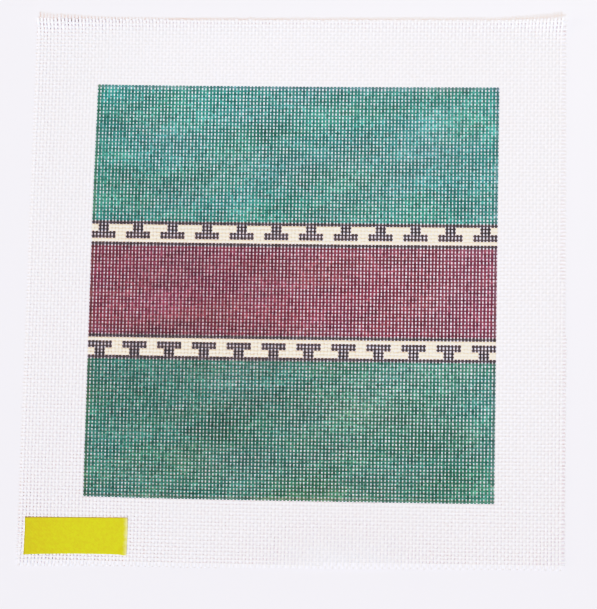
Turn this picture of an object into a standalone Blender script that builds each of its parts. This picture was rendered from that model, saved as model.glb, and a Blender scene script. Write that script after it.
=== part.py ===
"""A needlepoint canvas panel: a square of stiff open canvas, painted for stitching, with a small stuck-on label.

The panel lies face up on a table. +X runs to the right along its wefts, +Y runs up its face and +Z points away
from the table. The origin is in the middle of the panel's box, at the table. Lengths are in metres.
"""

import math
from typing import NamedTuple

import bmesh
import bpy
from mathutils import Vector


class Corner(NamedTuple):
    """A cut corner of the cloth, and the soft curl that lifts it off the table."""

    x: float
    y: float
    lift: float
    reach_x: float
    reach_y: float


# The canvas: hand cut, so no two sides are quite equal. Its upper corners still curl from the roll.
BOTTOM_LEFT = Corner(x=-0.1521, y=-0.15475, lift=0.0012, reach_x=0.050, reach_y=0.045)
BOTTOM_RIGHT = Corner(x=0.1514, y=-0.1520, lift=0.0006, reach_x=0.040, reach_y=0.035)
TOP_RIGHT = Corner(x=0.1521, y=0.15475, lift=0.0028, reach_x=0.048, reach_y=0.044)
TOP_LEFT = Corner(x=-0.1487, y=0.15365, lift=0.0024, reach_x=0.046, reach_y=0.042)
CORNERS = (BOTTOM_LEFT, BOTTOM_RIGHT, TOP_RIGHT, TOP_LEFT)
CANVAS_THICKNESS = 0.0010
CANVAS_CELLS = 28
CROWDING = 0.6  # how far the grid's lines crowd towards the curling edges: 0 is even

# The label: a strip of sticky paper near the bottom left corner, turned a little by the hand that placed it.
LABEL_WIDTH = 0.0575
LABEL_HEIGHT = 0.0205
LABEL_THICKNESS = 0.0003
LABEL_X = -0.1190
LABEL_Y = -0.1379
LABEL_TURN = math.radians(0.6)
LABEL_CELLS_X = 12
LABEL_CELLS_Y = 5
LABEL_GAP = 0.0003

CANVAS_WHITE = (0.90, 0.89, 0.91)
LABEL_YELLOW = (0.70, 0.65, 0.03)


def clear_scene():
    for old in list(bpy.data.objects):
        bpy.data.objects.remove(old, do_unlink=True)


def matt_material(name, colour, roughness):
    material = bpy.data.materials.new(name)
    material.use_nodes = True
    shader = material.node_tree.nodes["Principled BSDF"]
    shader.inputs["Base Color"].default_value = (*colour, 1.0)
    shader.inputs["Roughness"].default_value = roughness
    shader.inputs["Metallic"].default_value = 0.0
    return material


def curl(x, y):
    """The height of the cloth's underside: 0 where it lies flat, rising as a parabola towards each corner."""
    height = 0.0
    for corner in CORNERS:
        away = abs(corner.x - x) / corner.reach_x + abs(corner.y - y) / corner.reach_y
        height += corner.lift * max(0.0, 1.0 - away) ** 2
    return height


def crowded(s):
    """Maps -1..1 onto itself, with the steps closer together near both ends."""
    return (1.0 - CROWDING) * s + CROWDING * math.sin(s * math.pi / 2)


def on_canvas(s, t):
    """The place on the table below the cloth, with s and t running from -1 to 1 across and up it."""
    u = (1.0 + s) / 2
    v = (1.0 + t) / 2
    low = Vector(BOTTOM_LEFT[:2]).lerp(Vector(BOTTOM_RIGHT[:2]), u)
    high = Vector(TOP_LEFT[:2]).lerp(Vector(TOP_RIGHT[:2]), u)
    return low.lerp(high, v)


def sheet(name, cells_x, cells_y, place, thickness, material):
    """A sheet object: a grid whose points, from -1 to 1 both ways, place() puts in space, thickened upwards."""
    work = bmesh.new()
    bmesh.ops.create_grid(work, x_segments=cells_x, y_segments=cells_y, size=1.0)
    for point in work.verts:
        point.co = place(point.co.x, point.co.y)
    mesh = bpy.data.meshes.new(name)
    work.to_mesh(mesh)
    work.free()
    mesh.shade_smooth()
    mesh.materials.append(material)
    made = bpy.data.objects.new(name, mesh)
    bpy.context.scene.collection.objects.link(made)
    solidify = made.modifiers.new("Thickness", "SOLIDIFY")
    solidify.thickness = thickness
    solidify.offset = 1.0
    solidify.use_even_offset = True
    return made


def make_canvas():
    """The cut cloth, in one piece, flat in the middle and lifted at its corners."""

    def place(s, t):
        flat = on_canvas(crowded(s), crowded(t))
        return Vector((flat.x, flat.y, curl(flat.x, flat.y)))

    linen = matt_material("canvas", CANVAS_WHITE, 0.9)
    return sheet("canvas", CANVAS_CELLS, CANVAS_CELLS, place, CANVAS_THICKNESS, linen)


def make_label():
    """The paper strip, which follows the cloth just above it."""
    across = Vector((math.cos(LABEL_TURN), math.sin(LABEL_TURN))) * LABEL_WIDTH / 2
    up = Vector((-math.sin(LABEL_TURN), math.cos(LABEL_TURN))) * LABEL_HEIGHT / 2
    middle = Vector((LABEL_X, LABEL_Y))

    def place(s, t):
        flat = middle + across * s + up * t
        return Vector((flat.x, flat.y, curl(flat.x, flat.y) + CANVAS_THICKNESS + LABEL_GAP))

    paper = matt_material("label", LABEL_YELLOW, 0.6)
    return sheet("label", LABEL_CELLS_X, LABEL_CELLS_Y, place, LABEL_THICKNESS, paper)


clear_scene()
make_canvas()
make_label()
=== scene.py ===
"""The needlepoint canvas panel, dressed for its picture.

Each warp and weft of the open canvas is a thread of its own, woven over and under, in place of the
plain sheet. The paint on a thread follows the chart that stitches would follow: one place on the chart
is one crossing. +X runs right along the wefts, +Y runs up the face and +Z points away from the table.
Lengths are in metres.
"""

import math
from typing import NamedTuple

import bmesh
import bpy
import numpy as np
from mathutils import Euler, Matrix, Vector


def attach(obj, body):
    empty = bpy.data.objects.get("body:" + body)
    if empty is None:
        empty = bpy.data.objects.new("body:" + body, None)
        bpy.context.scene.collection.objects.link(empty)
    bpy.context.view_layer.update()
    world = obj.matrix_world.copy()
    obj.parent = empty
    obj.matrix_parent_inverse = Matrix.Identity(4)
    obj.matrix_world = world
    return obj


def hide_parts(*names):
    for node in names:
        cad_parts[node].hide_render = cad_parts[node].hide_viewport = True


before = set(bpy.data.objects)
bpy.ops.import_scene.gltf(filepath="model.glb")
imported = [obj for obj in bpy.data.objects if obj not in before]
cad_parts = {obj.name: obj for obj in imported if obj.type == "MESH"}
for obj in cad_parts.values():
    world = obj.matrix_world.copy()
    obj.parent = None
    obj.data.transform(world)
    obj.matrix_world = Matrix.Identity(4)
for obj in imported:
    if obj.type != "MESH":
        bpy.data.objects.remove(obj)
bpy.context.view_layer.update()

MM = 0.001
UP = np.array((0.0, 0.0, 1.0))


def bell(across, along):
    """A soft patch: 1 in its middle, and little beyond a distance of 1 across or along it."""
    return np.exp(-(across**2) - along**2)


# --------------------------------------------------------------------------------- the sheet's form


class Raised(NamedTuple):
    """A place where the cloth stands off the table: how high, and how far from there it still does."""

    x: float
    y: float
    lift: float
    reach_x: float
    reach_y: float


# The cut corners, each with its soft curl. The upper two stand higher than the plain sheet's, in a
# narrower strip along the edge.
BOTTOM_LEFT = Raised(x=-0.1521, y=-0.15475, lift=0.0012, reach_x=0.050, reach_y=0.045)
BOTTOM_RIGHT = Raised(x=0.1514, y=-0.1520, lift=0.0006, reach_x=0.040, reach_y=0.035)
TOP_RIGHT = Raised(x=0.1521, y=0.15475, lift=0.0034, reach_x=0.056, reach_y=0.010)
TOP_LEFT = Raised(x=-0.1487, y=0.15365, lift=0.0030, reach_x=0.050, reach_y=0.010)
CORNERS = (BOTTOM_LEFT, BOTTOM_RIGHT, TOP_RIGHT, TOP_LEFT)

# The stiff cloth lies in shallow waves, which lift it by SLACK at most.
SLACK = 0.34 * MM
WAVE_X = 46 * MM
WAVE_Y = 57 * MM
WAVE_START_X = 2.6
WAVE_START_Y = 2.0

# The upper edge curls over its whole length, the right edge less, and the lower edge near its middle.
SWELLS = (
    Raised(x=0.0, y=0.157, lift=1.5 * MM, reach_x=0.400, reach_y=0.008),
    Raised(x=0.160, y=0.0, lift=0.4 * MM, reach_x=0.012, reach_y=0.300),
    Raised(x=0.026, y=-0.156, lift=1.1 * MM, reach_x=0.042, reach_y=0.020),
)


def curl(x, y):
    """How far the corners lift the cloth: 0 where it lies flat, rising as a parabola towards each."""
    height = 0.0
    for corner in CORNERS:
        away = np.abs(corner.x - x) / corner.reach_x + np.abs(corner.y - y) / corner.reach_y
        height = height + corner.lift * np.maximum(0.0, 1.0 - away) ** 2
    return height


def lie(x, y):
    """The height of the woven cloth's underside, which touches the table only here and there."""
    waves = np.sin(x / WAVE_X + WAVE_START_X) * np.sin(y / WAVE_Y + WAVE_START_Y)
    height = curl(x, y) + SLACK * (0.5 + 0.5 * waves)
    for swell in SWELLS:
        share = bell((x - swell.x) / swell.reach_x, (y - swell.y) / swell.reach_y)
        height = height + swell.lift * share
    return height


# The four cuts run straight from corner to corner: x of the left and right at y, y of the others at x.


def cut_left(y):
    return np.interp(y, (BOTTOM_LEFT.y, TOP_LEFT.y), (BOTTOM_LEFT.x, TOP_LEFT.x))


def cut_right(y):
    return np.interp(y, (BOTTOM_RIGHT.y, TOP_RIGHT.y), (BOTTOM_RIGHT.x, TOP_RIGHT.x))


def cut_bottom(x):
    return np.interp(x, (BOTTOM_LEFT.x, BOTTOM_RIGHT.x), (BOTTOM_LEFT.y, BOTTOM_RIGHT.y))


def cut_top(x):
    return np.interp(x, (TOP_LEFT.x, TOP_RIGHT.x), (TOP_LEFT.y, TOP_RIGHT.y))


# --------------------------------------------------------------------------- the lattice of threads


class Pull(NamedTuple):
    """Cloth pulled softly out of square, most at thread place (i, j)."""

    i: float
    j: float
    reach_i: float
    reach_j: float
    right: float
    up: float


# i counts the warps to the right and j the wefts downwards. Whole numbers are holes, halves are threads.
# Place (MIDDLE_I, 0) lies at (LATTICE_X, LATTICE_Y). The warps lean by SKEW, and the wefts bow upwards
# at both ends, by BOW at BOW_REACH from the middle.
MM_PER_INCH = 25.4
WARPS_PER_INCH = 13
PITCH_X = MM_PER_INCH / WARPS_PER_INCH * MM
PITCH_Y = PITCH_X * 1.0206
LATTICE_X = 1.85 * MM
LATTICE_Y = 0.65 * MM
MIDDLE_I = -1.3
SKEW = math.tan(math.radians(0.519))
BOW = 0.513 * MM
BOW_REACH = 151.5 * MM
PULLS = (
    Pull(i=-66, j=-62, reach_i=16, reach_j=24, right=0.85 * MM, up=0.10 * MM),
    Pull(i=-66, j=64, reach_i=26, reach_j=12, right=0.10 * MM, up=0.60 * MM),
    Pull(i=0, j=66, reach_i=60, reach_j=12, right=0.25 * MM, up=0.35 * MM),
    Pull(i=-74.5, j=-78, reach_i=1.6, reach_j=16, right=-0.22 * MM, up=0.0),
)


def on_table(i, j):
    """Where thread place (i, j) lies on the table."""
    u = (i - MIDDLE_I) * PITCH_X
    v = -j * PITCH_Y
    x = LATTICE_X + u + SKEW * v
    y = LATTICE_Y + v + BOW * (u / BOW_REACH) ** 2
    for pull in PULLS:
        share = bell((i - pull.i) / pull.reach_i, (j - pull.j) / pull.reach_j)
        x = x + pull.right * share
        y = y + pull.up * share
    return x, y


# The chart, in threads. The painted square reaches SQUARE_REACH to each side of column SQUARE_I and row
# MIRROR_J, and mirrors about that row: burgundy, cream with a fret, and teal. Rows count from there.
# The fret has a motif each FRET_REPEAT threads, with a foot and a narrower stem.
SQUARE_I = -2.5
SQUARE_REACH = 58.5
MIRROR_J = 0.5
BURGUNDY_REACH = 12.5
CREAM_REACH = 18.5
LINE_ROWS = (13, 19)
FRET_ROWS = (14.5, 18.5)
STEM_START = 16.5
FRET_REPEAT = 10
FRET_I = -57.5
FOOT_REACH = 3.5
STEM_REACH = 1.5

# How wide ink and teal leave a thread, as a share of its bare width.
INK_SHRINKS = 0.87
TEAL_SWELLS = 1.025


def paint_swells(i, j, clogs):
    """How wide the paint leaves a thread: thick cream clogs the weave, and thin ink lets it shrink."""
    row, column = np.abs(j - MIRROR_J), np.abs(i - SQUARE_I)
    from_motif = np.abs((i - FRET_I + FRET_REPEAT / 2) % FRET_REPEAT - FRET_REPEAT / 2)
    reach = np.where(row > STEM_START, STEM_REACH, FOOT_REACH)
    in_fret = (row > FRET_ROWS[0]) & (row < FRET_ROWS[1]) & (from_motif < reach)
    in_border = (row > LINE_ROWS[0]) & (row < LINE_ROWS[1])
    border_swells = np.where(in_fret, INK_SHRINKS, clogs)
    field_swells = np.where(row > CREAM_REACH, TEAL_SWELLS, 1.0)
    in_square = (column < SQUARE_REACH) & (row < SQUARE_REACH)
    return np.where(in_square, np.where(in_border, border_swells, field_swells), 1.0)


class Stroke(NamedTuple):
    """A place where the painter laid more paint or another mix, most at thread place (i, j)."""

    i: float
    j: float
    reach_i: float
    reach_j: float
    tone: float = 0.0  # each whole step doubles how light the paint is, or below 0 halves it
    pure: float = 0.0  # above 0 a stronger colour, and below 0 a greyer one
    blue: float = 0.0  # above 0 a bluer colour, and below 0 a warmer one


STROKE_SLANT = math.radians(-10)  # the strokes rise a little to the right
STROKES = (
    # The upper field: pure and green towards its edges, grey in the middle, bluer at the right.
    Stroke(-62, -40, 6, 26, tone=0.18, pure=0.10, blue=0.10),
    Stroke(-40, -60, 30, 8, tone=0.12, pure=0.70, blue=-0.10),
    Stroke(-56, -48, 6, 4, tone=-0.40, pure=0.20),
    Stroke(-44, -29, 14, 6, tone=-0.35, blue=-0.30),
    Stroke(-42, -43, 9, 6, tone=0.30, pure=-0.35),
    Stroke(-10, -43, 5, 7, tone=-0.60, pure=-0.10, blue=0.20),
    Stroke(-2, -24, 9, 6, tone=-0.45, pure=0.30, blue=-0.50),
    Stroke(-18, -22, 5, 5, tone=0.45, pure=-0.30),
    Stroke(16, -48, 10, 4, pure=0.45),
    Stroke(10, -34, 30, 8, tone=-0.10, pure=-0.25),
    Stroke(38, -46, 9, 12, tone=0.35, pure=-0.30, blue=0.35),
    Stroke(44, -25, 6, 5, tone=-0.35, blue=0.40),
    Stroke(58, -32, 4, 24, tone=0.40, pure=0.30, blue=0.20),
    # The burgundy band: redder at the left, purple and paler at the right.
    Stroke(-46, -8, 9, 6, tone=-0.35, pure=-0.10),
    Stroke(-41, 3, 7, 5, tone=0.22, pure=0.10),
    Stroke(-24, -4, 14, 4, tone=-0.42, pure=0.35),
    Stroke(-34, 11, 18, 3, tone=-0.50, blue=-0.25),
    Stroke(-10, 10, 6, 3, tone=-0.30, blue=-0.20),
    Stroke(8, -12, 12, 3, tone=0.25, pure=-0.30),
    Stroke(0, 4, 16, 6, tone=0.10, blue=-0.30),
    Stroke(18, -2, 12, 5, tone=-0.18, pure=0.30),
    Stroke(52, -3, 12, 14, tone=0.18, pure=-0.20, blue=0.60),
    Stroke(-62, 0, 4, 14, pure=0.40, blue=0.20),
    # The lower field: dark in its left half, and purer green and paler towards the right.
    Stroke(-48, 30, 10, 5, tone=-0.40, pure=0.30, blue=-0.15),
    Stroke(-56, 37, 10, 4, tone=0.05, pure=0.60),
    Stroke(-22, 39, 11, 5, tone=-0.80, pure=-0.25, blue=-0.25),
    Stroke(-4, 30, 10, 4, tone=-0.50, pure=-0.20, blue=-0.20),
    Stroke(6, 44, 12, 4, tone=-0.35, pure=-0.30, blue=-0.25),
    Stroke(-58, 50, 12, 16, tone=0.20, blue=0.25),
    Stroke(-10, 22, 26, 4, pure=-0.80, blue=0.20),
    Stroke(30, 24, 24, 6, tone=0.35, pure=-0.25, blue=0.30),
    Stroke(16, 36, 8, 5, tone=0.40, pure=-0.20),
    Stroke(40, 48, 10, 8, tone=-0.25, pure=0.70, blue=-0.20),
    Stroke(0, 57, 24, 6, pure=-0.50, blue=-0.65),
    Stroke(56, 40, 7, 22, tone=0.42, pure=0.40, blue=0.35),
    Stroke(56, 57, 8, 5, tone=0.45, pure=0.40, blue=-0.20),
)
# The outermost thread of each side of the square took less paint, or another mix. RIM reaches across
# one thread, and SIDE along the whole side.
RIM = 0.6
SIDE = 200
RIM_STROKES = (
    Stroke(-60.5, 0.5, RIM, SIDE, tone=-0.28, pure=-1.90, blue=-0.95),
    Stroke(55.5, 0.5, RIM, SIDE, tone=0.0, pure=-2.60, blue=0.30),
    Stroke(-2.5, -57.5, SIDE, RIM, tone=0.35, pure=-3.20, blue=0.40),
    Stroke(-2.5, 58.5, SIDE, RIM, tone=0.38, pure=-2.10, blue=-0.15),
)


def brushed(i, j):
    """What the strokes add up to at thread places (i, j), as rows of (tone, pure, blue)."""
    total = np.zeros((len(i), 3))
    for strokes, slant in ((STROKES, STROKE_SLANT), (RIM_STROKES, 0.0)):
        for stroke in strokes:
            right, down = i - stroke.i, j - stroke.j
            along = (right * math.cos(slant) + down * math.sin(slant)) / stroke.reach_i
            across = (down * math.cos(slant) - right * math.sin(slant)) / stroke.reach_j
            amount = bell(along, across)
            total += amount[:, None] * np.array((stroke.tone, stroke.pure, stroke.blue))
    return total


# -------------------------------------------------------------------------------------- the threads

# The warps are the stouter set, so the holes between are taller than they are wide.
WARP_WIDTH = 1.18 * MM
WEFT_WIDTH = 0.68 * MM
THREAD_HEIGHT = 0.30 * MM
CROSSING_RISE = 0.14 * MM  # how far a thread rises or sinks to pass over or under another
UNEVEN = 0.03 * MM  # how far a whole thread lies out of its place
WANDER = 0.05 * MM  # how far it wanders from crossing to crossing
UNLIKE = 0.02  # how much whole threads differ in width, as a share
SLUB = 0.11  # how much a thread's width varies along it, as a share
LOOSE_BEFORE = -71  # the warps left of this one lie LOOSER times as far out of place
LOOSER = 2.2
# The numbers of the threads, with a few beyond each cut.
WARPS = range(-82, 80)
WEFTS = range(-80, 80)

# How far inside each cut the outermost thread lies that has not slipped off, in threads.
SLIPPED_LEFT = 0.35
SLIPPED_RIGHT = 0.9
SLIPPED_TOP = 0.30
SLIPPED_BOTTOM = 0.75
SHORTEST = 20  # a thread that crosses fewer others than this has slipped off too

# How far a thread runs on to its cut end from its last crossing, in threads, and how ragged the cut is.
SHORTEST_END = 0.3
LONGEST_END = 1.0
RAGGED_CUT = 0.05
END_SPRINGS = -0.4  # how much of its last crossing's rise or sinking the end takes, the other way

# A thread is a tube of four sides. For each of its points: which side of the middle, above or below it,
# and whether it counts as the top. Then how far round the tube each side starts, as a share.
SIDES = 4
SECTION_ACROSS = np.array((-0.5, -0.5, 0.5, 0.5))
SECTION_UP = np.array((-0.5, 0.5, 0.5, -0.5))
SECTION_UPPER = np.array((0.0, 1.0, 1.0, 0.0))
SECTION_ROUND = (0.0, 0.15, 0.50, 0.65, 1.0)


class ThreadSet(NamedTuple):
    """One of the two sets of threads: the warps run up the cloth, and the wefts across it."""

    name: str
    numbers: range
    crossed: range  # the numbers of the threads that it crosses
    width: float
    upright: bool
    clogs: float  # how much wider the thick cream paint makes a thread
    seed: int

    def place(self, number, along):
        """The lattice place that is that far along thread number."""
        across = np.full(np.shape(along), number + 0.5)
        return (across, along) if self.upright else (along, across)


WARP_SET = ThreadSet("warps", WARPS, WEFTS, WARP_WIDTH, upright=True, clogs=1.32, seed=3)
WEFT_SET = ThreadSet("wefts", WEFTS, WARPS, WEFT_WIDTH, upright=False, clogs=1.65, seed=5)


class Thread(NamedTuple):
    """One thread, with a row of values for its first end, each crossing, and its last end."""

    along: np.ndarray  # how far along itself, in threads
    over: np.ndarray  # 1 where it passes over, -1 where it passes under
    i: np.ndarray  # its lattice places, (i, j)
    j: np.ndarray
    middles: np.ndarray  # where those are in space
    widths: np.ndarray
    own: float  # a number between 0 and 1 that is the thread's own


class End(NamedTuple):
    """The cut end of a thread: its middle, which way it points, and its width."""

    middle: np.ndarray
    outwards: np.ndarray
    width: float


def crossings(kind, number):
    """Where a thread crosses the others, along itself, or None where it has slipped off."""
    along = np.array(kind.crossed) + 0.5
    x, y = on_table(*kind.place(number, along))
    left, right, bottom, top = cut_left(y), cut_right(y), cut_bottom(x), cut_top(x)
    if kind.upright:
        holds = (x > left + SLIPPED_LEFT * PITCH_X) & (x < right - SLIPPED_RIGHT * PITCH_X)
    else:
        holds = (y < top - SLIPPED_TOP * PITCH_Y) & (y > bottom + SLIPPED_BOTTOM * PITCH_Y)
    inside = (x > left) & (x < right) & (y > bottom) & (y < top)
    kept = np.flatnonzero(holds & inside)
    if len(kept) < SHORTEST:
        return None
    return along[kept[0] : kept[-1] + 1]


def cut_ends(kind, number, crossed_at, chance):
    """Where the scissors ended a thread, along itself, beyond its first and last crossings."""
    ends = []
    for last, step in ((crossed_at[0], -1), (crossed_at[-1], 1)):
        x, y = on_table(*kind.place(number, last))
        if kind.upright:
            left_over = abs(y - (cut_bottom(x) if step > 0 else cut_top(x))) / PITCH_Y
        else:
            left_over = abs(x - (cut_right(y) if step > 0 else cut_left(y))) / PITCH_X
        ragged = left_over + chance.normal(0, RAGGED_CUT)
        ends.append(last + step * min(LONGEST_END, max(SHORTEST_END, ragged)))
    return ends


def lay_thread(kind, number, crossed_at, chance):
    """A thread from cut end to cut end, over one of the others and under the next."""
    over = np.where((crossed_at - 0.5 + number) % 2 == 0, -1.0, 1.0) * (1 if kind.upright else -1)
    over = np.concatenate(([END_SPRINGS * over[0]], over, [END_SPRINGS * over[-1]]))
    first, last = cut_ends(kind, number, crossed_at, chance)
    along = np.concatenate(([first], crossed_at, [last]))
    i, j = kind.place(number, along)
    x, y = on_table(i, j)
    is_loose = kind.upright and number < LOOSE_BEFORE
    aside = chance.normal(0, UNEVEN * (LOOSER if is_loose else 1.0))
    aside = aside + chance.normal(0, WANDER, len(along))
    x, y = (x + aside, y) if kind.upright else (x, y + aside)
    height = lie(x, y) + THREAD_HEIGHT / 2 + CROSSING_RISE * (1 + over)
    widths = kind.width * (1 + chance.normal(0, UNLIKE)) * (1 + chance.normal(0, SLUB, len(along)))
    widths = widths * paint_swells(i, j, kind.clogs)
    return Thread(along, over, i, j, np.column_stack((x, y, height)), widths, chance.uniform())


def thread_ends(thread):
    """The two cut ends of a thread."""
    ends = []
    for end, inner in ((0, 1), (-1, -2)):
        outwards = thread.middles[end] - thread.middles[inner]
        ends.append(End(thread.middles[end], outwards / np.linalg.norm(outwards), thread.widths[end]))
    return ends


def thread_points(kind, thread):
    """The points of a thread's tube, four round each of its middles."""
    across = np.array((1.0, 0.0, 0.0) if kind.upright else (0.0, 1.0, 0.0))
    outline = thread.widths[:, None, None] * SECTION_ACROSS[None, :, None] * across
    outline = outline + THREAD_HEIGHT * SECTION_UP[None, :, None] * UP
    return (thread.middles[:, None, :] + outline).reshape(-1, 3)


def face_corners(far, low, high):
    """The map places of one side of a tube, face by face: far along it, and low to high round it."""
    start, end = far[:-1], far[1:]
    corners = ((start, low), (end, low), (end, high), (start, high))
    return np.stack([np.column_stack((u, np.full(len(u), v))) for u, v in corners], axis=1)


def add_map(mesh, name, corners):
    layer = mesh.uv_layers.new(name=name)
    layer.data.foreach_set("uv", np.concatenate(corners).reshape(-1))


def add_values(mesh, name, values):
    """Values at a mesh's points that its material reads by name."""
    kind, field = ("FLOAT_VECTOR", "vector") if values.ndim == 2 else ("FLOAT", "value")
    mesh.attributes.new(name, kind, "POINT").data.foreach_set(field, values.reshape(-1))


def show(name, mesh):
    """A smooth object of that mesh, in the scene."""
    mesh.shade_smooth()
    made = bpy.data.objects.new(name, mesh)
    bpy.context.scene.collection.objects.link(made)
    return made


def make_threads(kind):
    """All the threads of one set as one mesh, and a list of their cut ends.

    Each is a tube with one ring at each crossing, and one at each end. Its points carry
      place: the lattice place (i, j) there, and the thread's own number
      brush: how the painter's strokes change the paint there, as (tone, pure, blue)
      rise:  1 where the thread passes over, -1 where it passes under
      upper: 1 along the top of the thread, 0 along its underside
    The map strand runs along and round each thread, and OFBake gives each a strip of its own.
    """
    chance = np.random.default_rng(kind.seed)
    points, places, rises, quads, strips, strands, ends = [], [], [], [], [], [], []
    made = 0
    for index, number in enumerate(kind.numbers):
        crossed_at = crossings(kind, number)
        if crossed_at is None:
            continue
        thread = lay_thread(kind, number, crossed_at, chance)
        ends += thread_ends(thread)
        points.append(thread_points(kind, thread))
        own = np.full(len(thread.along), thread.own)
        places.append(np.repeat(np.column_stack((thread.i, thread.j, own)), SIDES, axis=0))
        rises.append(np.repeat(thread.over, SIDES))
        far = (thread.along - kind.crossed[0]) / len(kind.crossed)
        rings = made + SIDES * np.arange(len(thread.along) - 1)
        for side in range(SIDES):
            here = rings + side
            beside = rings + (side + 1) % SIDES
            quads.append(np.column_stack((here, here + SIDES, beside + SIDES, beside)))
            low, high = SECTION_ROUND[side : side + 2]
            bottom, top = (index + low) / len(kind.numbers), (index + high) / len(kind.numbers)
            strips.append(face_corners(far, bottom, top))
            strands.append(face_corners(thread.along, low, high))
        made += SIDES * len(thread.along)
    mesh = bpy.data.meshes.new(kind.name)
    mesh.from_pydata(np.concatenate(points).tolist(), [], np.concatenate(quads).tolist())
    places = np.concatenate(places)
    add_values(mesh, "place", places)
    add_values(mesh, "brush", brushed(places[:, 0], places[:, 1]))
    add_values(mesh, "rise", np.concatenate(rises))
    add_values(mesh, "upper", np.tile(SECTION_UPPER, made // SIDES))
    add_map(mesh, "strand", strands)
    add_map(mesh, "OFBake", strips)
    return show(kind.name, mesh), ends


# The fibres that work loose at each cut end. Each is a thin tube of three sides, bent once.
FIBRES = 5
FIBRE_SEED = 17
FIBRE_SIDES = 3
FIBRE_WIDTH = 0.07 * MM
FIBRE_TAPER = (1.0, 0.9, 0.4)  # how wide it is where it starts, where it is bent and at its tip
FIBRE_SHORTEST = 0.4 * MM
FIBRE_LONGEST = 1.2 * MM
FIBRE_ROOT = 0.2  # how much of its length lies within the thread
FIBRE_ASIDE = 0.4  # how far from the thread's middle it starts, as a share of the width
FIBRE_ABOVE = 0.3  # and as a share of the height
FIBRE_SPREAD = 0.35 * MM  # how far its tip strays sideways
FIBRE_BEND_AT = 0.5  # how far along it is bent
FIBRE_BEND = 0.3  # how much of its straying comes before the bend
FIBRE_DROOP = 0.3  # how far its tip hangs down at most, as a share of its length


def lay_fibre(end, sideways, chance):
    """Where a fibre of a cut end starts, where it is bent, and its tip."""
    length = chance.uniform(FIBRE_SHORTEST, FIBRE_LONGEST)
    start = end.middle - FIBRE_ROOT * length * end.outwards
    start = start + sideways * end.width * chance.uniform(-FIBRE_ASIDE, FIBRE_ASIDE)
    start[2] += THREAD_HEIGHT * chance.uniform(-FIBRE_ABOVE, FIBRE_ABOVE)
    spread = chance.normal(0, FIBRE_SPREAD)
    bent = start + FIBRE_BEND_AT * length * end.outwards + FIBRE_BEND * spread * sideways
    tip = start + length * end.outwards + spread * sideways
    tip[2] = max(FIBRE_WIDTH, tip[2] - FIBRE_DROOP * length * chance.uniform())
    return start, bent, tip


def make_raw_ends(ends):
    """The loose fibres of all the cut ends, as one mesh, whose map OFBake gives each its own strip."""
    chance = np.random.default_rng(FIBRE_SEED)
    turns = np.arange(FIBRE_SIDES) * math.tau / FIBRE_SIDES
    starts = range(0, (len(FIBRE_TAPER) - 1) * FIBRE_SIDES, FIBRE_SIDES)
    far = np.linspace(0, 1, len(starts) * FIBRE_SIDES + 1)
    count = FIBRES * len(ends)
    points, quads, strips = [], [], []
    for end in ends:
        sideways = np.array((-end.outwards[1], end.outwards[0], 0.0))
        around = np.cos(turns)[:, None] * sideways + np.sin(turns)[:, None] * UP
        for _ in range(FIBRES):
            made = FIBRE_SIDES * len(points)
            for middle, share in zip(lay_fibre(end, sideways, chance), FIBRE_TAPER):
                points.append(middle + around * FIBRE_WIDTH / 2 * share)
            for ring in starts:
                for side in range(FIBRE_SIDES):
                    here, beside = made + ring + side, made + ring + (side + 1) % FIBRE_SIDES
                    quads.append((here, here + FIBRE_SIDES, beside + FIBRE_SIDES, beside))
            low = len(strips) / count
            strips.append(face_corners(far, low, low + 1.0 / count))
    mesh = bpy.data.meshes.new("raw_ends")
    mesh.from_pydata(np.concatenate(points).tolist(), [], quads)
    add_map(mesh, "OFBake", strips)
    return show("raw_ends", mesh)


# ---------------------------------------------------------------------------------------- the label

LABEL_WIDTH = 57.5 * MM
LABEL_HEIGHT = 20.5 * MM
LABEL_X = -119.0 * MM
LABEL_Y = -137.9 * MM
LABEL_TURN = math.radians(0.6)
LABEL_THICKNESS = 0.16 * MM
LABEL_CELLS_X = 115
LABEL_CELLS_Y = 41
LABEL_PRESS = 0.05 * MM  # how deep the paper is pressed into the holes of the weave

# It was cut by hand: its short sides run in a shallow wave, its lower side arches, and its lower right
# corner hangs down in a nib. s runs from -1 to 1 along the strip, and t up it.
LABEL_WAVE = 0.006  # as a share of half its width
LABEL_WAVE_BEND = 2.3
LABEL_WAVE_START = 0.5
LABEL_ARCH = 0.45 * MM
LABEL_NIB = 0.55 * MM
NIB_S = 0.94
NIB_REACH = 0.08

# Its left end has come unstuck beyond LOOSE_S, and its lower right corner beyond NIB_START_S.
LABEL_EDGE_LIFT = 0.30 * MM
LABEL_NIB_LIFT = 0.55 * MM
LOOSE_S = -0.86
NIB_START_S = 0.75

LABEL_ACROSS = Vector((math.cos(LABEL_TURN), math.sin(LABEL_TURN))) * LABEL_WIDTH / 2
LABEL_UP = Vector((-math.sin(LABEL_TURN), math.cos(LABEL_TURN))) * LABEL_HEIGHT / 2


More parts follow.
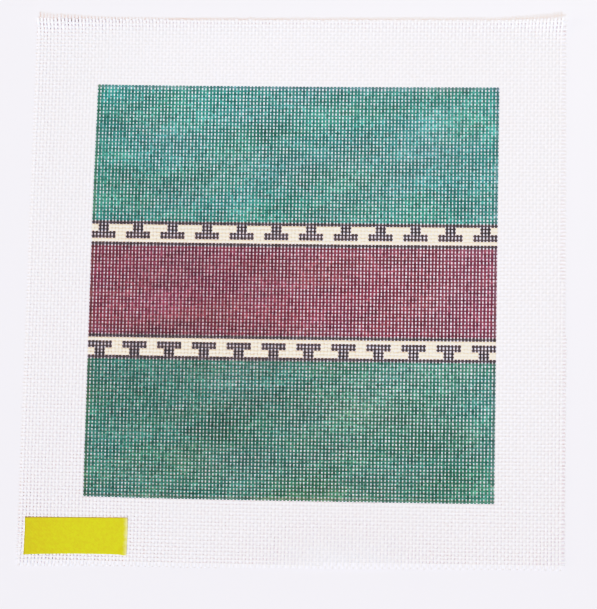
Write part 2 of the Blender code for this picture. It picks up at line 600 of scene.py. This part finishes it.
def on_label(s, t):
    """The place of the paper's underside, on the threads."""
    lower = max(0.0, -t) ** 2
    corner = lower * max(0.0, (s - NIB_START_S) / (1 - NIB_START_S))
    nib = corner * max(0.0, 1.0 - abs(s - NIB_S) / NIB_REACH)
    wave = LABEL_WAVE * math.sin(LABEL_WAVE_BEND * t + LABEL_WAVE_START)
    flat = Vector((LABEL_X, LABEL_Y)) + LABEL_ACROSS * (s + wave) + LABEL_UP * t
    flat.y += LABEL_ARCH * lower * (1 - s * s) - LABEL_NIB * nib

    i = (flat.x - LATTICE_X - SKEW * flat.y) / PITCH_X + MIDDLE_I
    j = (LATTICE_Y - flat.y) / PITCH_Y
    press = LABEL_PRESS * math.cos(math.tau * i) * math.cos(math.tau * j)
    lift = LABEL_EDGE_LIFT * max(0.0, (LOOSE_S - s) / (LOOSE_S + 1)) + LABEL_NIB_LIFT * corner
    base = float(lie(flat.x, flat.y)) + THREAD_HEIGHT + 2 * CROSSING_RISE
    return flat.x, flat.y, base + LABEL_PRESS - press + lift


def make_label():
    """The paper strip: stuck down on the threads, with its ends coming a little unstuck."""
    work = bmesh.new()
    bmesh.ops.create_grid(work, x_segments=LABEL_CELLS_X, y_segments=LABEL_CELLS_Y, size=1.0)
    paper = work.loops.layers.uv.new("paper")
    for face in work.faces:
        for corner in face.loops:
            corner[paper].uv = corner.vert.co.xy / 2 + Vector((0.5, 0.5))
    for point in work.verts:
        point.co = on_label(point.co.x, point.co.y)
    mesh = bpy.data.meshes.new("paper_label")
    work.to_mesh(mesh)
    work.free()
    label = show("paper_label", mesh)
    thicken = label.modifiers.new("thickness", "SOLIDIFY")
    thicken.thickness = LABEL_THICKNESS
    thicken.offset = 1.0
    return label


# ---------------------------------------------------------------------------------------- materials


def linear(part):
    """One part of a colour, 0 to 1, from a screen's scale to the render's, by the sRGB curve."""
    return part / 12.92 if part <= 0.04045 else ((part + 0.055) / 1.055) ** 2.4


def shown(red, green, blue):
    """A colour as a screen shows it, 0 to 255, in the render's own scale."""
    return tuple(linear(part / 255) for part in (red, green, blue))


class Grain(NamedTuple):
    """A noise pattern, and the values that it seldom goes beyond."""

    scale: float
    detail: float = 2.0
    roughness: float = 0.5
    low: float = 0.3
    high: float = 0.7


class Finish:
    """A material, with short calls that add its nodes and return the output that the next reads.

    A Mix node's sockets 4 and 5 are its two vectors, and 6 and 7 its two colours.
    """

    DARKEST = 0.15  # the least that stepped() leaves of a colour's red, green or blue
    SAME = 0.25  # two whole numbers that differ by less than this are the same

    def __init__(self, name):
        self.material = bpy.data.materials.new(name)
        self.material.use_nodes = True
        self.tree = self.material.node_tree
        self.shader = self.tree.nodes["Principled BSDF"].inputs

    def feed(self, socket, value):
        """Links an output to a socket, or sets a plain number or colour on it."""
        if isinstance(value, bpy.types.NodeSocket):
            self.tree.links.new(value, socket)
        elif socket.type == "RGBA":
            socket.default_value = (*value, 1.0)
        else:
            socket.default_value = value

    def node(self, kind, inputs=None, **settings):
        node = self.tree.nodes.new(kind)
        for name, value in settings.items():
            setattr(node, name, value)
        for name, value in (inputs or {}).items():
            self.feed(node.inputs[name], value)
        return node

    def stored(self, name):
        """The values that a mesh's points carry under that name."""
        return self.node("ShaderNodeAttribute", attribute_name=name).outputs

    def uv(self, name):
        return self.node("ShaderNodeUVMap", uv_map=name).outputs[0]

    def ground(self):
        return self.node("ShaderNodeTexCoord").outputs["Object"]

    def maths(self, operation, *values):
        return self.node("ShaderNodeMath", dict(enumerate(values)), operation=operation).outputs[0]

    def line(self, value, slope, start):
        return self.maths("MULTIPLY_ADD", value, slope, start)

    def between(self, value, low, high):
        """1 where value is from low to high, else 0."""
        return self.maths("COMPARE", value, (low + high) / 2, (high - low) / 2)

    def both(self, first, second):
        return self.maths("MULTIPLY", first, second)

    def either(self, first, second):
        return self.maths("MAXIMUM", first, second)

    def mix(self, amount, first, second, blend="MIX"):
        inputs = {0: amount, 6: first, 7: second}
        return self.node("ShaderNodeMix", inputs, data_type="RGBA", blend_type=blend).outputs[2]

    def noise(self, vector, grain):
        inputs = {
            "Vector": vector,
            "Scale": grain.scale,
            "Detail": grain.detail,
            "Roughness": grain.roughness,
        }
        return self.node("ShaderNodeTexNoise", inputs).outputs[0]

    def ease(self, value, low, high, to_low=0.0, to_high=1.0):
        """value moved from low..high to to_low..to_high, and held there."""
        inputs = dict(enumerate((value, low, high, to_low, to_high)))
        return self.node("ShaderNodeMapRange", inputs, interpolation_type="SMOOTHSTEP").outputs[0]

    def shift(self, value, noise, grain, amount):
        """value, shifted by that noise by up to amount either way."""
        return self.maths("ADD", value, self.ease(noise, grain.low, grain.high, -amount, amount))

    def vector(self, x, y, z=0.0):
        return self.node("ShaderNodeCombineXYZ", {0: x, 1: y, 2: z}).outputs[0]

    def grey(self, value):
        return self.vector(value, value, value)

    def split(self, vector):
        return self.node("ShaderNodeSeparateXYZ", {0: vector}).outputs

    def vector_maths(self, operation, *values):
        inputs = dict(enumerate(values))
        return self.node("ShaderNodeVectorMath", inputs, operation=operation).outputs[0]

    def moved(self, vector, distance):
        """The same pattern's vector at another place, so that two patterns differ."""
        return self.vector_maths("ADD", vector, (distance,) * 3)

    def stepped(self, colour, steps, change):
        """colour, changed by that share of its red, green and blue for each step."""
        share = self.vector_maths("MULTIPLY_ADD", self.grey(steps), change, (1.0,) * 3)
        share = self.vector_maths("MAXIMUM", share, (self.DARKEST,) * 3)
        return self.mix(1.0, colour, share, "MULTIPLY")

    def bump(self, height, rounding=1.0):
        """Shades the surface as raised by height, and rounds it by a share of its smooth shading."""
        faces = self.node("ShaderNodeNewGeometry").outputs
        inputs = {0: rounding, 4: faces["True Normal"], 5: faces["Normal"]}
        normal = self.node("ShaderNodeMix", inputs, data_type="VECTOR").outputs[1]
        inputs = {"Height": height, "Distance": 1.0, "Normal": self.vector_maths("NORMALIZE", normal)}
        self.feed(self.shader["Normal"], self.node("ShaderNodeBump", inputs).outputs[0])


BARE = shown(255, 250, 254)
COTTON_SHADE = shown(236, 230, 232)
CREAM = shown(244, 227, 204)
INK = shown(74, 62, 66)
TEAL = shown(48, 131, 119)
LOWER_TEAL = shown(47, 117, 99)
BURGUNDY = shown(124, 50, 70)
STEM_INK = 0.6  # how light the ink of the fret's stems is, as a share of the rest of it

# How much one step of purer or bluer paint changes its red, green and blue.
PURER_TEAL = (-0.50, 0.05, 0.03)
PURER_BURGUNDY = (0.06, -0.30, -0.05)
BLUER = (-0.06, 0.0, 0.22)
PURER_WHEN_DARKER = 1.6  # the steps that the paint is purer for each step that it is darker

# What the brush left between the placed strokes, and how far it shifts the tone, purity or blue.
STREAK_LENGTH = 2.6  # how much longer than wide the streaks are
STREAKS = Grain(scale=0.16, detail=4.0, roughness=0.62, low=0.25, high=0.75)
STREAKS_TONE = 0.42
MIXES = Grain(scale=0.10)
MIXES_APART = 40.0
MIXES_PURE = 0.5
HUES = Grain(scale=0.13)
HUES_APART = 80.0
HUES_BLUE = 0.4
SPECKS = Grain(scale=0.85, roughness=0.7, low=0.20, high=0.80)
SPECKS_TONE = 0.95
SPECKED_INK = (0.5, 1.6)  # how light the specks leave the ink, at least and at most

UNDERSIDE_PAINT = 0.85  # how much of the paint shows on a thread's underside
PAINTED_FROM = 0.45  # how far up a thread's sides all of it shows
BARE_ROUGH = 0.9
PAINT_ROUGH = 0.75
CROWN = 0.8 * CROSSING_RISE
TWIST_DEPTH = 0.012 * MM
TWISTS_ALONG = 1.5  # for each crossing
TWISTS_ROUND = 2.0
THREAD_ROUNDING = 0.55


class Chart(NamedTuple):
    """The parts of the chart, each as an output that is 1 in that part and 0 outside it."""

    in_square: bpy.types.NodeSocket
    in_lower_half: bpy.types.NodeSocket
    in_teal: bpy.types.NodeSocket
    in_cream: bpy.types.NodeSocket
    in_stems: bpy.types.NodeSocket
    in_ink: bpy.types.NodeSocket


def read_chart(finish, i, j):
    """Which parts of the chart the crossing at a point belongs to."""
    cell_i = finish.maths("ADD", finish.maths("FLOOR", i), 0.5)
    cell_j = finish.maths("ADD", finish.maths("FLOOR", j), 0.5)
    row = finish.maths("ABSOLUTE", finish.maths("SUBTRACT", cell_j, MIRROR_J))
    column = finish.maths("ABSOLUTE", finish.maths("SUBTRACT", cell_i, SQUARE_I))
    in_columns = finish.maths("LESS_THAN", column, SQUARE_REACH)
    in_rows = finish.maths("LESS_THAN", row, SQUARE_REACH)

    from_motif = finish.maths("PINGPONG", finish.maths("SUBTRACT", cell_i, FRET_I), FRET_REPEAT / 2)
    stem_rows = finish.maths("GREATER_THAN", row, STEM_START)
    reach = finish.line(stem_rows, STEM_REACH - FOOT_REACH, FOOT_REACH)
    in_motif = finish.maths("LESS_THAN", from_motif, reach)
    in_fret = finish.both(in_motif, finish.between(row, *FRET_ROWS))
    lines = [finish.between(row, number - finish.SAME, number + finish.SAME) for number in LINE_ROWS]
    return Chart(
        in_square=finish.both(in_columns, in_rows),
        in_lower_half=finish.maths("GREATER_THAN", cell_j, MIRROR_J),
        in_teal=finish.maths("GREATER_THAN", row, CREAM_REACH),
        in_cream=finish.between(row, BURGUNDY_REACH, CREAM_REACH),
        in_stems=finish.both(stem_rows, in_fret),
        in_ink=finish.either(in_fret, finish.either(*lines)),
    )


def mix_paint(finish, chart, i, j, own):
    """The paint's colour: placed strokes, streaks between them, and specks as small as a crossing."""
    tone, pure, blue = finish.split(finish.stored("brush")["Vector"])
    stretched = {
        "Vector": finish.vector(i, j),
        "Rotation": (0.0, 0.0, STROKE_SLANT),
        "Scale": (STREAK_LENGTH, 1.0, 1.0),
    }
    streaked = finish.node("ShaderNodeMapping", stretched, vector_type="TEXTURE").outputs[0]
    streaks = finish.noise(streaked, STREAKS)
    mixes = finish.noise(finish.moved(streaked, MIXES_APART), MIXES)
    hues = finish.noise(finish.moved(streaked, HUES_APART), HUES)
    specks = finish.noise(finish.vector(i, j, own), SPECKS)
    tone = finish.shift(tone, streaks, STREAKS, STREAKS_TONE)
    tone = finish.shift(tone, specks, SPECKS, SPECKS_TONE)
    pure = finish.shift(pure, mixes, MIXES, MIXES_PURE)
    pure = finish.line(tone, -PURER_WHEN_DARKER, pure)
    blue = finish.shift(blue, hues, HUES, HUES_BLUE)

    teal = finish.stepped(finish.mix(chart.in_lower_half, TEAL, LOWER_TEAL), pure, PURER_TEAL)
    burgundy = finish.stepped(BURGUNDY, pure, PURER_BURGUNDY)
    paint = finish.stepped(finish.mix(chart.in_teal, burgundy, teal), blue, BLUER)
    paint = finish.mix(1.0, paint, finish.grey(finish.maths("POWER", 2.0, tone)), "MULTIPLY")
    paint = finish.mix(chart.in_cream, paint, CREAM)
    inked = finish.ease(specks, SPECKS.low, SPECKS.high, *SPECKED_INK)
    inked = finish.both(inked, finish.line(chart.in_stems, STEM_INK - 1, 1.0))
    ink = finish.mix(1.0, INK, finish.grey(inked), "MULTIPLY")
    return finish.mix(chart.in_ink, paint, ink)


def raise_threads(finish, upper):
    """Shades the crown of each crossing, and the twist of the thread."""
    rise = finish.stored("rise")["Fac"]
    crown = finish.maths("SINE", finish.maths("MULTIPLY", rise, math.pi / 2))
    crown = finish.maths("MULTIPLY", finish.both(crown, finish.line(upper, 2.0, -1.0)), CROWN)
    length, girth, _ = finish.split(finish.uv("strand"))
    along = finish.maths("MULTIPLY", length, TWISTS_ALONG)
    turns = finish.maths("ADD", along, finish.maths("MULTIPLY", girth, TWISTS_ROUND))
    twist = finish.maths("SINE", finish.maths("MULTIPLY", turns, math.tau))
    twist = finish.maths("MULTIPLY", twist, TWIST_DEPTH)
    finish.bump(finish.maths("ADD", crown, twist), rounding=THREAD_ROUNDING)


def canvas_finish():
    """Cotton thread stiffened with size, and the paint brushed over it, which soaks through."""
    finish = Finish("painted_canvas")
    i, j, own = finish.split(finish.stored("place")["Vector"])
    upper = finish.stored("upper")["Fac"]
    chart = read_chart(finish, i, j)
    paint = mix_paint(finish, chart, i, j, own)
    taken = finish.both(chart.in_square, finish.ease(upper, 0.0, PAINTED_FROM, UNDERSIDE_PAINT, 1.0))
    finish.feed(finish.shader["Base Color"], finish.mix(taken, BARE, paint))
    rough = finish.line(chart.in_square, PAINT_ROUGH - BARE_ROUGH, BARE_ROUGH)
    finish.feed(finish.shader["Roughness"], rough)
    raise_threads(finish, upper)
    return finish.material


LOOSE_COTTON = Grain(scale=900.0)


def cotton_finish():
    """Loose cotton, a little unlike from fibre to fibre."""
    finish = Finish("loose_cotton")
    tone = finish.noise(finish.ground(), LOOSE_COTTON)
    tone = finish.ease(tone, LOOSE_COTTON.low, LOOSE_COTTON.high)
    finish.feed(finish.shader["Base Color"], finish.mix(tone, BARE, COTTON_SHADE))
    finish.shader["Roughness"].default_value = BARE_ROUGH
    return finish.material


LABEL_YELLOW = shown(201, 199, 10)
LABEL_OCHRE = shown(198, 185, 12)
# The olive is painted shadow: the thin dark line along the label's lifted left edge.
LABEL_SHADOW_OLIVE = shown(176, 160, 40)
LABEL_PALE = shown(232, 224, 176)
PAPER_WHITE = shown(240, 238, 226)

MOTTLE = Grain(scale=620.0, detail=4.0, roughness=0.75, low=0.34, high=0.70)
PAPER_FIBRES = Grain(scale=2600.0, detail=3.0, roughness=0.7)
RAGGED = Grain(scale=330.0, detail=3.0, roughness=0.6)
MOTTLED_OCHRE = (-0.1, 0.95)  # how ochre the mottling leaves the paper, at least and at most
LEFT_OCHRE = 0.45  # how much more ochre it is at its left end, less and less up to OCHRE_END
OCHRE_END = 0.5
PAPER_ROUGH = (0.55, 0.75)
PAPER_GLOSS = 0.25
PAPER_RELIEF = 0.02 * MM


class WearAndShade(NamedTuple):
    """How far the paper changes colour between two places, as shares of its side: rubbed paler, or
    darkened by a painted shadow.
    """

    start: float
    end: float
    at_start: float
    at_end: float
    ragged: float = 0.0


RIGHT_WEAR = WearAndShade(start=0.985, end=1.05, at_start=0.0, at_end=1.0, ragged=0.06)
LONG_SIDE_WEAR = WearAndShade(start=0.485, end=0.5, at_start=0.0, at_end=0.25)
# The strip at the left edge is a painted shadow along the label's lifted end, in olive.
LEFT_EDGE_SHADOW = WearAndShade(start=0.006, end=0.022, at_start=0.8, at_end=0.0, ragged=0.012)


def label_finish():
    """Yellow paper, uneven in its colour, paler along its rubbed sides, more ochre at its left end, and
    with a painted shadow along its left edge.
    """
    finish = Finish("yellow_paper")
    u, v, _ = finish.split(finish.uv("paper"))
    ground = finish.ground()
    mottle, fibres, ragged = (finish.noise(ground, grain) for grain in (MOTTLE, PAPER_FIBRES, RAGGED))
    mottled = finish.ease(mottle, MOTTLE.low, MOTTLE.high, *MOTTLED_OCHRE)
    ochre = finish.maths("ADD", mottled, finish.ease(u, 0.0, OCHRE_END, LEFT_OCHRE, 0.0))
    colour = finish.mix(finish.maths("MINIMUM", ochre, 1.0), LABEL_YELLOW, LABEL_OCHRE)
    from_middle = finish.maths("ABSOLUTE", finish.maths("SUBTRACT", v, 0.5))
    # The last band paints shadow along the left edge; the other two are the paler rubbed sides.
    for wear_and_shade, far, wear_and_shade_colour in (
        (RIGHT_WEAR, u, LABEL_PALE),
        (LONG_SIDE_WEAR, from_middle, LABEL_PALE),
        (LEFT_EDGE_SHADOW, u, LABEL_SHADOW_OLIVE),
    ):
        far = finish.line(ragged, wear_and_shade.ragged, far)
        amount = finish.ease(far, wear_and_shade.start, wear_and_shade.end, wear_and_shade.at_start, wear_and_shade.at_end)
        colour = finish.mix(amount, colour, wear_and_shade_colour)
    facing = finish.split(finish.node("ShaderNodeNewGeometry").outputs["Normal"])
    under = finish.maths("LESS_THAN", facing[2], 0.0)
    finish.feed(finish.shader["Base Color"], finish.mix(under, colour, PAPER_WHITE))
    rough = finish.ease(fibres, PAPER_FIBRES.low, PAPER_FIBRES.high, *PAPER_ROUGH)
    finish.feed(finish.shader["Roughness"], rough)
    finish.shader["Specular IOR Level"].default_value = PAPER_GLOSS
    finish.bump(finish.maths("MULTIPLY", fibres, PAPER_RELIEF))
    return finish.material


# ---------------------------------------------------------------------------------- stage and light

TABLE_WHITE = (0.905, 0.870, 0.935)
TABLE_ROUGH = 0.7
# The table top, far off, turns up softly into a pale wall: how far from the middle, and how high.
TABLE_PROFILE = ((10.0, 0.0), (11.0, 0.15), (11.6, 0.5), (11.9, 1.1), (12.0, 2.4))
TABLE_SIDES = 64


def make_table():
    """The round table top, as one flat face with rings of faces round it."""
    turns = [math.tau * side / TABLE_SIDES for side in range(TABLE_SIDES)]
    points = []
    for reach, height in TABLE_PROFILE:
        points += [(reach * math.cos(turn), reach * math.sin(turn), height) for turn in turns]
    faces = [tuple(range(TABLE_SIDES))]
    for ring in range(0, len(points) - TABLE_SIDES, TABLE_SIDES):
        for side in range(TABLE_SIDES):
            here, beside = ring + side, ring + (side + 1) % TABLE_SIDES
            faces.append((here, here + TABLE_SIDES, beside + TABLE_SIDES, beside))
    mesh = bpy.data.meshes.new("table_top")
    mesh.from_pydata(points, [], faces)
    table = show("table_top", mesh)
    mesh.polygons[0].use_smooth = False
    finish = Finish("table_white")
    finish.feed(finish.shader["Base Color"], TABLE_WHITE)
    finish.shader["Roughness"].default_value = TABLE_ROUGH
    mesh.materials.append(finish.material)


class Beam(NamedTuple):
    """A soft light that comes from far off, so that it falls alike on the whole table."""

    name: str
    azimuth: float  # degrees, 0 to the right and 90 up the face
    elevation: float
    softness: float  # degrees
    light: tuple  # what it lays on the table, in red, green and blue: in all 1 would light it fully


BEAMS = (
    Beam("overhead", azimuth=-100, elevation=77, softness=9, light=(0.325, 0.22, 0.18)),
    Beam("window", azimuth=-92, elevation=42, softness=7, light=(0.275, 0.415, 0.555)),
    Beam("side", azimuth=185, elevation=20, softness=16, light=(0.08, 0.07, 0.05)),
)
BEAM_AWAY = 2.0  # how far off the lights are placed, which changes nothing
# A small lamp beyond the top right corner lays this much more light straight below it.
NEAR_LAMP = Vector((0.19, 0.34, 0.70))
NEAR_SIZE = 0.2
NEAR_LIGHT = 0.23
NEAR_COLOUR = (0.93, 1.0, 0.82)
ROOM = (0.18, 0.143, 0.125)
# How the film answers to light: it presses the bright tones together, as the photograph does.
FILM = ((0.0, 0.0), (0.12, 0.12), (0.35, 0.42), (0.55, 0.69), (0.7, 0.825), (0.85, 0.892), (1.0, 0.955))
WHOLE_FILM = 3  # of the film's curves, the one for red, green and blue alike


def make_beam(beam):
    light = bpy.data.lights.new(beam.name, "SUN")
    light.angle = math.radians(beam.softness)
    brightest = max(beam.light)
    light.energy = brightest * math.pi / math.sin(math.radians(beam.elevation))
    light.color = [part / brightest for part in beam.light]
    around, above = math.radians(beam.azimuth), math.radians(beam.elevation)
    flat = math.cos(above)
    towards = Vector((math.cos(around) * flat, math.sin(around) * flat, math.sin(above)))
    placed = bpy.data.objects.new(beam.name, light)
    placed.location = towards * BEAM_AWAY
    placed.rotation_euler = towards.to_track_quat("Z", "Y").to_euler()
    bpy.context.scene.collection.objects.link(placed)


def make_near_lamp():
    lamp = bpy.data.lights.new("near_lamp", "AREA")
    lamp.size = NEAR_SIZE
    lamp.energy = NEAR_LIGHT * (math.pi * NEAR_LAMP.z) ** 2
    lamp.color = NEAR_COLOUR
    placed = bpy.data.objects.new("near_lamp", lamp)
    placed.location = NEAR_LAMP
    bpy.context.scene.collection.objects.link(placed)


def make_room():
    world = bpy.data.worlds.new("room")
    world.use_nodes = True
    world.node_tree.nodes["Background"].inputs["Color"].default_value = (*ROOM, 1.0)
    bpy.context.scene.world = world


def set_film():
    view = bpy.context.scene.view_settings
    view.view_transform = "Standard"
    view.use_curve_mapping = True
    curve = view.curve_mapping.curves[WHOLE_FILM]
    curve.points[0].location = FILM[0]
    curve.points[1].location = FILM[-1]
    for light, answer in FILM[1:-1]:
        curve.points.new(light, answer)
    view.curve_mapping.update()


# The camera looks almost straight down. At 1 m, 1 m is FOCAL_PIXELS wide in the picture.
CAMERA_PLACE = (0.01637, -0.03677, 0.5600)
CAMERA_TURNS = (3.015, 1.325, 0.79)
FOCAL_PIXELS = 1000
PICTURE_PIXELS = 609
SENSOR = 36.0


def make_camera():
    camera = bpy.data.cameras.new("camera")
    camera.sensor_fit = "VERTICAL"
    camera.sensor_height = SENSOR
    camera.lens = SENSOR * FOCAL_PIXELS / PICTURE_PIXELS
    placed = bpy.data.objects.new("camera", camera)
    placed.location = CAMERA_PLACE
    placed.rotation_euler = Euler([math.radians(turn) for turn in CAMERA_TURNS], "XYZ")
    bpy.context.scene.collection.objects.link(placed)
    bpy.context.scene.camera = placed


make_camera()
for beam in BEAMS:
    make_beam(beam)
make_near_lamp()
make_room()
set_film()
make_table()

canvas_paint = canvas_finish()
warps, warp_ends = make_threads(WARP_SET)
wefts, weft_ends = make_threads(WEFT_SET)
raw_ends = make_raw_ends(warp_ends + weft_ends)
for piece, paint in ((warps, canvas_paint), (wefts, canvas_paint), (raw_ends, cotton_finish())):
    piece.data.materials.append(paint)
    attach(piece, "root")
    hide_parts("canvas")
paper_label = make_label()
paper_label.data.materials.append(label_finish())
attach(paper_label, "root")
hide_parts("label")
